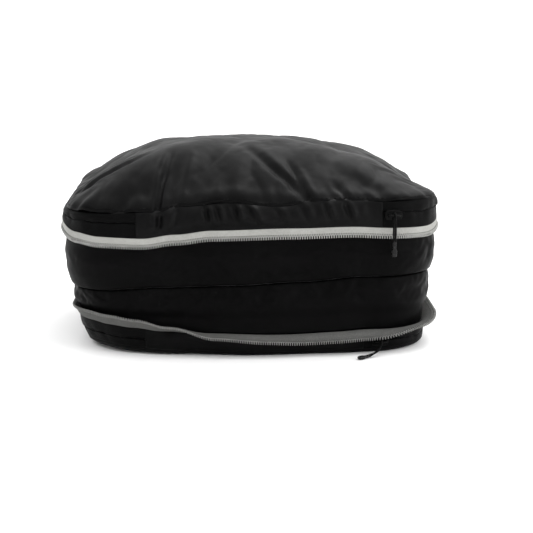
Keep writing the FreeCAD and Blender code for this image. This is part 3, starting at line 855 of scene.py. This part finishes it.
def make_topstitch(panel):
    """The row of stitches on the lid just above its seam."""
    line, normal = rail("lid_seam", places(BACK, BACK + ROUND - 2, 1.0))
    near = line - normal * 1.0 + np.array([0, 0, 1.9])
    found = [panel.closest_point_on_mesh(Vector(point * MM)) for point in near]
    points, out = (np.array([tuple(hit[index]) for hit in found]) for index in (1, 2))
    stitch_row("lid_topstitch", points / MM, out, 3.0, 2.0, 0.22, THREAD, "lid")


# ---- gusset and divider ----
LIP = 2.2                      # seam allowance that turns in at the gusset's fold
GUSSET_ROWS = 17


def make_gusset(name, rails, gaps, bulge, seed, room):
    """Half of the expansion gusset, sewn at both edges and pushed out by what is inside.

    Room is how far it may reach outward of the line between its seams, along its height."""
    t = all_round(2.2)
    (low, normal), (high, _) = (rail(rail_name, t) for rail_name in rails)
    shares = np.linspace(0, 1, GUSSET_ROWS)
    rows = []
    for share in shares:
        inset = (1 - share) * gaps[0] + share * gaps[1]
        push = bulge(t) * (4 * share * (1 - share)) ** 0.7 - inset
        rows.append(low + (high - low) * share + normal * push[:, None])
    jitter = np.random.default_rng(seed).normal(0, 0.25, (GUSSET_ROWS, len(t)))
    jitter[0] = jitter[-1] = 0
    piece = lattice(name, np.array(rows) + normal[None] * jitter[..., None], closed=True)
    last = len(t) * (GUSSET_ROWS - 1)
    relax(piece, list(range(len(t))) + list(range(last, last + len(t))), 1.2, 0.035, 3.2)
    points = points_of(piece)
    wrinkles = creases(points, (34, 34, 15), 0.07, 0.5, 2.2, seed).reshape(GUSSET_ROWS, -1)
    points = points.reshape(GUSSET_ROWS, -1, 3)
    points = points + normal[None] * (wrinkles * np.sin(np.pi * shares)[:, None])[..., None]
    straight = low[None] + (high - low)[None] * shares[:, None, None]
    reach = np.sum((points - straight) * normal[None], axis=2)
    over = np.maximum(reach - np.interp(shares, *zip(*room))[:, None], 0)
    points = points - normal[None] * (over * 0.85)[..., None]
    fold = 0 if rails[0] == "crease" else -1
    lip = [points[fold] - normal * LIP]
    points = np.concatenate([lip, points] if fold == 0 else [points, lip])
    bpy.data.objects.remove(piece)
    return thicken(lattice(name, points, closed=True), BAND_SHELL)


def make_gussets():
    """Both halves, each flattening towards the frame it is sewn to."""
    halves = [
        # half, rails, gaps at its seams, bulge, seed, room, how far past the divider's edge, its frame's seam
        ("lower", ("lower_seam", "crease"), (0.6, 1.5),
         around((LEFT, 1.8), (FRONT_LEFT, 1.5), (front(0), 1.4), (FRONT_RIGHT, 1.4), (RIGHT, 2.4), (BACK, 1.2)),
         51, [(0, -0.7), (0.3, -1.3), (0.5, 1.0), (0.75, 1.6), (0.93, 0.5), (1, -1.2)], -0.25, LOWER_SEAM),
        ("upper", ("crease", "upper_seam"), (-0.3, 1.6),
         around((LEFT, 2.0), (FRONT_LEFT, 1.5), (front(0), 1.5), (FRONT_RIGHT, 0.8), (BACK, 1.2)),
         52, [(0, 0.4), (0.1, 1.2), (0.25, 2.2), (0.5, 2.2), (0.62, 0.4), (0.75, -1.1), (1, -1.5)], 0.25,
         UPPER_SEAM)]
    for half, rails, gaps, bulge, seed, room, gap, seam in halves:
        piece = make_gusset(f"gusset_{half}_cloth", rails, gaps, bulge, seed, room)
        keep_side(piece, gap)
        # Each gusset half takes the darker copy of the nylon: painted shade.
        dress(piece, PAINTED_SHADE_GUSSET_NYLON, f"{half}_frame", [f"gusset_{half}"])
        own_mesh(piece)


def keep_side(piece, gap):
    """Keeps a gusset half on its own side of the divider's edge: below it if the gap is negative."""
    points = points_of(piece)
    line, _ = rail("crease", place_of(points))
    trim = np.minimum if gap < 0 else np.maximum
    points[:, 2] = trim(points[:, 2], line[:, 2] + gap)
    set_points(piece, points)


def make_divider():
    """The cloth between the compartments, sewn into the gusset's fold and slightly slack."""
    edge, _ = rail("crease", all_round(3.0), 2.0)
    rows = []
    for share in np.linspace(0.02, 1, 30):
        row = edge * share
        row[:, 2] = CREASE_Z + (edge[:, 2] - CREASE_Z) * share ** 5
        row[:, 2] += 0.9 * np.sin(row[:, 0] / 17 + 1.0) * np.sin(row[:, 1] / 23) * (1 - share ** 4)
        rows.append(row)
    rows = np.array(rows)
    piece = new_piece("divider_cloth", rows.reshape(-1, 3), cup_faces(*rows.shape[:2]))
    thicken(piece, 0.45, smoothed=False, offset=0.0)
    dress(piece, LINING, "divider_fold", ["divider_panel"])


# ---- compression zipper ----
TAPE_WIDTH = 5.4
TAPE_END = 8.0                 # both grey tapes end here on the back's right
RIBBON_STEPS = 8
UPPER_TAPE_WIDTH = level(TAPE_WIDTH)
LOWER_TAPE_WIDTH = around(
    (LEFT, 5.4), (FRONT_LEFT, 5.4), (front(-70), 5.6), (front(-20), 7.0), (front(60), 7.6),
    (BACK_RIGHT, 7.2), (BACK, 6.0))
COIL_PITCH = 1.5
LOWER_TURN_START = around(
    (BACK_LEFT, 45), (LEFT, 42), (FRONT_LEFT, 30), (front(-92), 24), (front(-75), 26), (front(-55), 40),
    (front(-25), 76), (front(10), 82), (front(40), 88), (front(75), 88), (FRONT_RIGHT, 58), (STARTS[2], 44),
    (RIGHT, 38), (BACK_RIGHT, 45), (BACK, 45))
LOWER_TURN_END = around(
    (BACK_LEFT, 35), (LEFT, 30), (FRONT_LEFT, 26), (front(-92), 32), (front(-75), 46), (front(-55), 78),
    (front(-25), 126), (front(10), 150), (front(40), 172), (front(75), 172), (FRONT_RIGHT, 98),
    (STARTS[2], 68), (RIGHT, 42), (BACK_RIGHT, 35), (BACK, 35))
UPPER_TURN_START = around(
    (LEFT, 10), (FRONT_LEFT, 6), (front(0), 4), (front(60), 4), (FRONT_RIGHT, 8), (RIGHT, 12), (BACK, 4))
UPPER_TURN_END = around(
    (LEFT, 2), (FRONT_LEFT, -4), (front(-60), -2), (front(0), 0), (front(60), -3), (FRONT_RIGHT, 0),
    (RIGHT, -4), (BACK, 0))


def ribbon(points, normal, t, turn_start, turn_end, width, way):
    """A tape from its sewn edge. Turns are degrees outward from upright; way is +1 up, -1 down.

    Returns its rows, and at each row the direction along the tape and its outer face's normal."""
    lines, aheads, faces = [points], [], []
    up = np.array([0, 0, way])
    for share in np.linspace(0, 1, RIBBON_STEPS + 1):
        angle = np.radians(turn_start(t) + (turn_end(t) - turn_start(t)) * share)
        sine, cosine = np.sin(angle)[:, None], np.cos(angle)[:, None]
        aheads.append(normal * sine + up * cosine)
        faces.append(normal * cosine - up * sine)
        lines.append(lines[-1] + aheads[-1] * width(t)[:, None] / RIBBON_STEPS)
    return np.array(lines[:-1]), np.array(aheads), np.array(faces)


def coil(name, line, ahead, face, t, material, body, node, center, reach, wire, per_turn=12, sides=6):
    """One half coil: a wire wound along a tape's edge, one turn for each tooth.

    Center is how far its middle lies along the tape and outward of it, reach its two half sizes."""
    turns = int((t[-1] - t[0]) / COIL_PITCH)
    angle = np.linspace(0, turns * 2 * math.pi, turns * per_turn + 1)
    # The cosine stacks a tooth's two legs, so that the next tooth stands clear of them.
    where = t[0] + (angle / (2 * math.pi) + 0.25 * np.cos(angle)) * COIL_PITCH
    middle, ahead, face = (between(where, t, values) for values in (line, ahead, face))
    offset = face * (reach[0] * np.cos(angle))[:, None] + ahead * (reach[1] * np.sin(angle))[:, None]
    path = middle + ahead * center[0] + face * center[1] + offset
    out = unit(offset)
    side = np.cross(unit(np.gradient(path, axis=0)), out)
    ring = [path + (out * math.cos(a) + side * math.sin(a)) * wire / 2
            for a in np.arange(sides) * 2 * math.pi / sides]
    piece = weld(lattice(name, np.array(ring + ring[:1])), 0.005)
    return dress(piece, material, body, [node])


def make_compression_half(which, start, end, way, sewn_out, left_edge, width, cloth, wire, body):
    """One half of the grey zipper: tape, coil and its two rows of stitches."""
    t = places(front_to_back(left_edge), front_to_back(TAPE_END), 1.2)
    points, normal = rail(f"{which}_seam", t)
    points = points + normal * sewn_out
    lines, aheads, faces = ribbon(points, normal, t, start, end, width, way)
    tucked = points - np.array([0, 0, way * 1.2]) - normal * 1.3
    rows = np.concatenate([[tucked], lines])
    piece = lattice(f"compression_tape_{which}_cloth", rows)
    across = np.concatenate([[-2.0], np.linspace(0, TAPE_WIDTH, len(lines))])
    lay(piece, np.tile(t, (len(rows), 1)), np.repeat(across[:, None], len(t), axis=1))
    thicken(piece, TAPE_CLOTH, offset=0.0)
    dress(piece, cloth, body, [f"compression_tape_{which}"])
    node = f"compression_coil_{which}"
    pieces = [piece, coil(f"{node}_wire", lines[-1], aheads[-1], faces[-1], t, wire, body, node,
                          (0.95, 0.5), (0.5, 0.95), 0.62)]
    for side, label in ((1, "face"), (-1, "back")):
        out = faces[-2] * side
        pieces.append(stitch_row(f"compression_{which}_{label}_stitches", lines[-2] + out * 0.28, out, COIL_PITCH,
                                 0.85, 0.24, GREY_THREAD, body))
    return pieces


def front_to_back(x):
    """The place on a rail at x on the back."""
    return BACK - x


# ---- compartment zippers ----
def make_compartment_coils():
    """Coils behind the tapes' slits, lying on the inner side."""
    sets = [("lid", "upper_seam", "lid_seam", LID_CHAIN, UPPER_SEAM, LID_SEAM, LID_ZIP_RIGHT, "upper_frame", "lid"),
            ("base", "base_rim", "lower_seam", BASE_CHAIN, BASE_RIM, LOWER_SEAM, BASE_ZIP_RIGHT, "bottom_flap",
             "lower_frame")]
    for which, low_rail, high_rail, chain, low_z, high_z, right, low_body, high_body in sets:
        t = places(front(right + 0.6), front(ZIP_LEFT - 0.6), TAPE_STEP)
        (low, normal), (high, _) = rail(low_rail, t), rail(high_rail, t)
        line = low + (high - low) * (chain - low_z) / (high_z - low_z)
        up = np.tile([0, 0, 1.0], (len(t), 1))
        for half, way, body in (("lower", -1, low_body), ("upper", 1, high_body)):
            node = f"{which}_zipper_coil_{half}"
            coil(f"{node}_wire", line + up * way * 0.75, up, normal, t, BLACK_COIL, body, node,
                 (0, -1.2), (0.5, 0.6), 0.45, 8, 5)
        make_end_stops(which, line, normal, low_body)


def bevelled(points, faces, bevel):
    """Vertices and faces of a small solid with its edges rounded."""
    mesh = bpy.data.meshes.new("solid")
    mesh.from_pydata(points, [], faces)
    solid = link("solid", mesh)
    modify(solid, "BEVEL", width=bevel, segments=3, limit_method="ANGLE")
    mesh = settled(solid).data
    vertices, faces = np.array([v.co for v in mesh.vertices]), [tuple(p.vertices) for p in mesh.polygons]
    bpy.data.objects.remove(solid)
    return vertices, faces


def rounded_block(size, bevel):
    """A box with rounded edges, about the origin."""
    x, y, z = (s / 2 for s in size)
    corners = [(sx * x, sy * y, sz * z) for sx in (-1, 1) for sy in (-1, 1) for sz in (-1, 1)]
    faces = [(0, 1, 3, 2), (4, 6, 7, 5), (0, 4, 5, 1), (2, 3, 7, 6), (0, 2, 6, 4), (1, 5, 7, 3)]
    return bevelled(corners, faces, bevel)


def joined(parts):
    """One list of vertices and faces from several."""
    vertices, faces, count = [], [], 0
    for part_vertices, part_faces in parts:
        vertices.append(part_vertices)
        faces += [tuple(index + count for index in face) for face in part_faces]
        count += len(part_vertices)
    return np.vstack(vertices), faces


def make_end_stops(which, line, normal, body):
    """Small crimped clips over the coils' two ends."""
    parts = []
    for end, ahead in ((0, line[1] - line[0]), (-1, line[-1] - line[-2])):
        ahead = ahead / np.linalg.norm(ahead)
        vertices, faces = rounded_block((1.0, 1.7, 3.4), 0.3)
        turned = vertices[:, :1] * ahead + vertices[:, 1:2] * normal[end] + vertices[:, 2:] * np.array([0, 0, 1])
        parts.append((turned + line[end] - normal[end] * 1.0, faces))
    piece = new_piece(f"{which}_zipper_stop_clips", *joined(parts))
    return dress(piece, METAL, body, [f"{which}_zipper_stops"])


# ---- sliders, pulls ----
class SliderFrame:
    """A slider's own axes: along its chain, outward from the tape, and up. Its origin is the bridge bar."""

    def __init__(self, name):
        joint = JOINTS[f"{name}_pull_swing"]
        axis = np.array(joint["axis"], float)
        self.origin = np.array(joint["pos_m"], float) / MM
        self.along = -axis / np.linalg.norm(axis)
        self.outward = np.array([self.along[1], -self.along[0], 0.0])
        self.up = np.array([0.0, 0.0, 1.0])

    def place(self, points):
        """From (along, toward the plate, up) to the cube's own frame."""
        points = np.asarray(points, float)
        return (self.origin + points[:, :1] * self.along - points[:, 1:2] * self.outward
                + points[:, 2:] * self.up)


def slab(outline, near, far, bevel, curve=0.0):
    """A plate from a flat outline of (along, up) points, between two depths, with rounded edges."""
    count = len(outline)
    points = [(x, depth, z) for depth in (near, far) for x, z in outline]
    faces = [tuple(range(count)), tuple(range(2 * count - 1, count - 1, -1))]
    faces += [(i, i + count, (i + 1) % count + count, (i + 1) % count) for i in range(count)]
    vertices, faces = bevelled(points, faces, bevel)
    vertices[:, 1] += curve * vertices[:, 0] ** 2
    return vertices, faces


def oval(half_width, half_tall, power, count):
    """Points round a rectangle with round corners: the lower the power, the squarer."""
    a = 2 * math.pi * np.arange(count) / count
    return [half * np.sign(wave) * np.abs(wave) ** power
            for half, wave in ((half_width, np.cos(a)), (half_tall, np.sin(a)))]


def slider_outline(half_length, half_tall, waist):
    """A slider plate: broad shoulders at one end, narrow at the other, all corners round."""
    x, z = oval(half_length, half_tall, 0.55, 30)
    return list(zip(x, z * (1 - waist * (x / half_length + 1) / 2)))


def bridge_arch(length, rise, radius, flatten):
    """The bridge: a round bar that bends down into the plate at both ends."""
    path = []
    for a in np.linspace(0, math.pi, 15):
        path.append((-length / 2 * math.cos(a), rise * (1 - abs(math.sin(a)) ** flatten), 0.0))
    return tube(np.array(path), radius, 10)


def tube(path, radius, sides):
    """A closed tube along points."""
    forward = unit(np.gradient(path, axis=0))
    first = unit(np.cross(forward, [0, 0, 1.0]))
    second = np.cross(forward, first)
    around_it = [(math.cos(a), math.sin(a)) for a in 2 * math.pi * np.arange(sides) / sides]
    vertices = [middle + (one * cosine + other * sine) * radius
                for middle, one, other in zip(path, first, second) for cosine, sine in around_it]
    return np.array(vertices), tube_faces(len(path), sides)


OUTER_TOP = 2.55               # from the bridge bar in to the outer plate's face


def make_slider(name, inner_face, bend):
    """Outer plate with flanges, inner plate, post and bridge, in the bar's frame."""
    curve = 0.5 / bend if bend else 0.0
    post = [(-1.5, -0.4), (1.5, -0.4), (1.5, 0.4), (-1.5, 0.4)]
    parts = [slab(slider_outline(5.5, 3.5, 0.22), OUTER_TOP, OUTER_TOP + 1.2, 0.4, curve),
             slab(slider_outline(5.3, 3.4, 0.22), inner_face, inner_face + 0.9, 0.3, curve),
             slab(slider_outline(3.4, 2.1, 0.3), OUTER_TOP - 0.35, OUTER_TOP + 0.3, 0.25, curve),
             slab(post, OUTER_TOP + 1.0, inner_face + 0.2, 0.05),
             bridge_arch(7.4, OUTER_TOP + 0.3, 0.75, 0.45)]
    for side in (-1, 1):
        block, faces = rounded_block((9.0, 0.9, 0.55), 0.2)
        block = block + np.array([0, OUTER_TOP + 1.45, side * 3.0])
        block[:, 1] += curve * block[:, 0] ** 2
        parts.append((block, faces))
    vertices, faces = joined(parts)
    piece = new_piece(f"{name}_slider_body", SliderFrame(name).place(vertices), faces)
    return dress(piece, METAL, f"{name}_slider", [f"{name}_slider"])


def hanging_route(drop):
    """The pull cord's points from its tip, round the bar and back, as the CAD has them."""
    grip, reach = 0.6, 1.55
    one = [(-0.62, 0, -drop - grip), (-0.42, 0.9, -drop / 2 - 1.5), (-0.2, 1.5, -3), (0, reach, reach)]
    return one + [(-x, -y, z) for x, y, z in reversed(one)]


LYING_ROUTE = [(-9.8, -7.6, -6.2), (-5.4, -5.7, -5.6), (-2.0, -2.9, -4.4), (-0.2, 0.6, -2.4), (0, 2.1, -0.2),
               (0, -0.4, 2.2), (-0.4, -3.4, -0.6), (-2.9, -5.9, -3.2), (-5.9, -7.7, -5.0), (-9.2, -8.9, -6.2)]
CORD_DIAMETER = 1.2
TIP_LENGTH, TIP_SIDES = 9.5, 20


def tip_mesh():
    """A moulded tip, hanging from its cord end at the origin: a slim sleeve over the cord and a ribbed bead."""
    sleeve = TIP_LENGTH - 4.6
    # height, half width, half thickness
    stations = [(0.0, 0.95, 0.75), (-0.3, 1.15, 0.85), (-sleeve + 0.8, 1.1, 0.85), (-sleeve, 1.25, 0.95),
                (-sleeve - 0.5, 1.6, 1.05)]
    for top in (-sleeve - 0.8, -sleeve - 2.0):
        stations += [(top, 1.55, 1.0), (top - 0.25, 1.7, 1.1), (top - 0.7, 1.7, 1.1), (top - 0.95, 1.55, 1.0)]
    stations += [(0.9 - TIP_LENGTH, 1.6, 1.0), (0.4 - TIP_LENGTH, 1.45, 0.9), (0.1 - TIP_LENGTH, 1.15, 0.7),
                 (-TIP_LENGTH, 0.75, 0.45)]
    vertices = []
    for z, half_width, half_thick in stations:
        x, y = oval(half_width, half_thick, 0.6, TIP_SIDES)
        vertices.append(np.stack([x, y, np.full(TIP_SIDES, z)], axis=1))
    return np.vstack(vertices), turned_over(tube_faces(len(stations), TIP_SIDES))


def make_pull(name, route, tip_points, tip_faces):
    """A cord loop through the bridge, with its moulded tip."""
    axes = SliderFrame(name)
    tip = new_piece(f"{name}_pull_tip_moulding", axes.place(tip_points), tip_faces)
    dress(tip, TIP, f"{name}_pull", [f"{name}_pull_tip"])
    points = axes.place(route) * MM
    curve = bpy.data.curves.new(f"{name}_pull_braid", "CURVE")
    for key, value in {"dimensions": "3D", "resolution_u": 10, "bevel_depth": CORD_DIAMETER / 2 * MM,
                       "bevel_resolution": 3, "use_fill_caps": True}.items():
        setattr(curve, key, value)
    spline = curve.splines.new("NURBS")
    spline.points.add(len(points) - 1)
    for point, place in zip(spline.points, points):
        point.co = (*place, 1)
    spline.order_u = 3
    spline.use_endpoint_u = True
    cord = link(f"{name}_pull_braid", curve)
    dress(cord, CORD, f"{name}_pull", [f"{name}_pull_cord"])


def turn_points(points, degrees, first, second):
    """Rotates points in the plane of two axes."""
    a = math.radians(degrees)
    turned = points.copy()
    turned[:, first] = points[:, first] * math.cos(a) - points[:, second] * math.sin(a)
    turned[:, second] = points[:, first] * math.sin(a) + points[:, second] * math.cos(a)
    return turned


def make_sliders():
    """The three sliders with their pulls: two hang, and the base's lies on the floor."""
    for name, inner_face, bend in (("lid", 6.15, TOP[2]), ("base", 6.15, BASE[2]), ("compression", 5.95, 0)):
        make_slider(name, inner_face, bend)
    vertices, faces = tip_mesh()
    for name, drop, length in (("lid", 16.0, 38.4), ("compression", 12.5, 31.4)):
        make_pull(name, hanging_route(drop), vertices + np.array([0, 0, -drop]), faces)
    lying = vertices
    for degrees, first, second in ((90, 0, 1), (-90, 0, 2), (30, 0, 1)):
        lying = turn_points(lying, degrees, first, second)
    end = np.array([-9.0, -7.95, 1.3 - BASE_CHAIN])
    make_pull("base", LYING_ROUTE, lying + end, faces)


# ---- camera, light and floor ----
CAMERA_DISTANCE = 0.850
CAMERA_ELEVATION = 10.93
CAMERA_AZIMUTH = -2.59
CAMERA_TARGET = (0.01205, 0.0, 0.03956)
CAMERA_LENS = 82.87


def make_camera():
    """The photograph's view, as a camera on a sphere round its target."""
    camera = link("camera", bpy.data.cameras.new("camera"))
    azimuth, elevation = math.radians(CAMERA_AZIMUTH), math.radians(CAMERA_ELEVATION)
    back = Vector((math.sin(azimuth) * math.cos(elevation), -math.cos(azimuth) * math.cos(elevation),
                   math.sin(elevation)))
    camera.location = Vector(CAMERA_TARGET) + back * CAMERA_DISTANCE
    aim(camera, -back)
    for key, value in {"sensor_width": 36.0, "lens": CAMERA_LENS, "clip_start": 0.01, "clip_end": 50.0}.items():
        setattr(camera.data, key, value)
    bpy.context.scene.camera = camera


def aim(piece, direction):
    """Turns a camera or a lamp to look along a direction."""
    piece.rotation_mode = "QUATERNION"
    piece.rotation_quaternion = direction.to_track_quat("-Z", "Y")


def area_light(name, place, target, size, power):
    """A round soft light at a place, aimed at a target."""
    light = bpy.data.lights.new(name, "AREA")
    light.shape = "DISK"
    light.size = size
    light.energy = power
    lamp = link(name, light)
    lamp.location = place
    aim(lamp, Vector(target) - Vector(place))


FLOOR_RINGS = [(400, 0), (1200, 0), (2500, 0), (3500, 60), (4500, 260), (5500, 700), (6500, 1500), (7200, 2600)]
FLOOR_SIDES = 48


def make_surroundings():
    """A pale floor that rises far away, an overhead sun, two soft lights and a pale sky."""
    turns = 2 * math.pi * np.arange(FLOOR_SIDES) / FLOOR_SIDES
    vertices = [(0, 0, 0)] + [(radius * math.cos(a), radius * math.sin(a), height)
                              for radius, height in FLOOR_RINGS for a in turns]
    faces = [(0, 1 + k, 1 + (k + 1) % FLOOR_SIDES) for k in range(FLOOR_SIDES)]
    for face in turned_over(grid_faces(len(FLOOR_RINGS), FLOOR_SIDES, closed=True)):
        faces.append(tuple(1 + index for index in face))
    floor = new_piece("floor", vertices, faces)
    m = Nodes("pale_floor")
    shade = m.tint(m.noise(3.0), (0.92, 0.92, 0.92), (0.94, 0.94, 0.94))
    floor.data.materials.append(m.finish(shade, 0.9, Specular_IOR_Level=0.1))
    world = bpy.data.worlds.new("studio")
    world.use_nodes = True
    background = world.node_tree.nodes["Background"]
    background.inputs["Color"].default_value = (1.0, 1.0, 1.0, 1)
    background.inputs["Strength"].default_value = 0.33
    bpy.context.scene.world = world
    sun = bpy.data.lights.new("overhead", "SUN")
    sun.energy = 4.0
    sun.angle = math.radians(120)
    link("overhead", sun).rotation_euler = (math.radians(-9), math.radians(4), 0)
    area_light("key", (0.45, 0.6, 1.3), (0, 0, 0.08), 0.7, 6)
    area_light("side", (1.0, -0.75, 0.55), (0.05, -0.05, 0.07), 0.35, 4.0)
    bpy.context.scene.view_settings.view_transform = "Standard"


# ---- build ----
make_camera()
make_surroundings()
make_sliders()
make_bottom_panel()
make_base_band()
make_gussets()
make_divider()
make_lid_band()
top_panel = make_top_panel()
make_compartment_coils()
make_compression_half("upper", UPPER_TURN_START, UPPER_TURN_END, -1, 0.35, -3.2, UPPER_TAPE_WIDTH, GREY_TAPE,
                      GREY_COIL, "upper_frame")
# The lower half takes darker copies of the grey tape and coil: painted shade.
for piece in make_compression_half("lower", LOWER_TURN_START, LOWER_TURN_END, 1, 0.5, -18.0, LOWER_TAPE_WIDTH,
                                   PAINTED_SHADE_TAPE, PAINTED_SHADE_COIL, None):
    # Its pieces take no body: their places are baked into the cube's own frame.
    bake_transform(piece)
make_binding("base_seam_binding", "base_rim", 1.6, -1.6, 1.4, "bottom_flap")
make_binding("lower_frame_binding", "lower_seam", 1.8, -2.5, 2.0, "lower_frame")
make_binding("divider_binding", "crease", 4.4, 0.3, 2.2, "divider_fold")
make_binding("upper_frame_binding", "upper_seam", 3.0, -2.5, 2.0, "upper_frame")
make_binding("lid_seam_binding", "lid_seam", 1.8, -2.8, -0.3, "lid")
make_topstitch(top_panel)

# CAD nodes that show as they are
for name in ("insertion_pin", "lower_top_stop", "upper_top_stop", "retainer_box"):
    materials = frame["nodes"][name].data.materials
    materials.clear()
    materials.append(METAL)
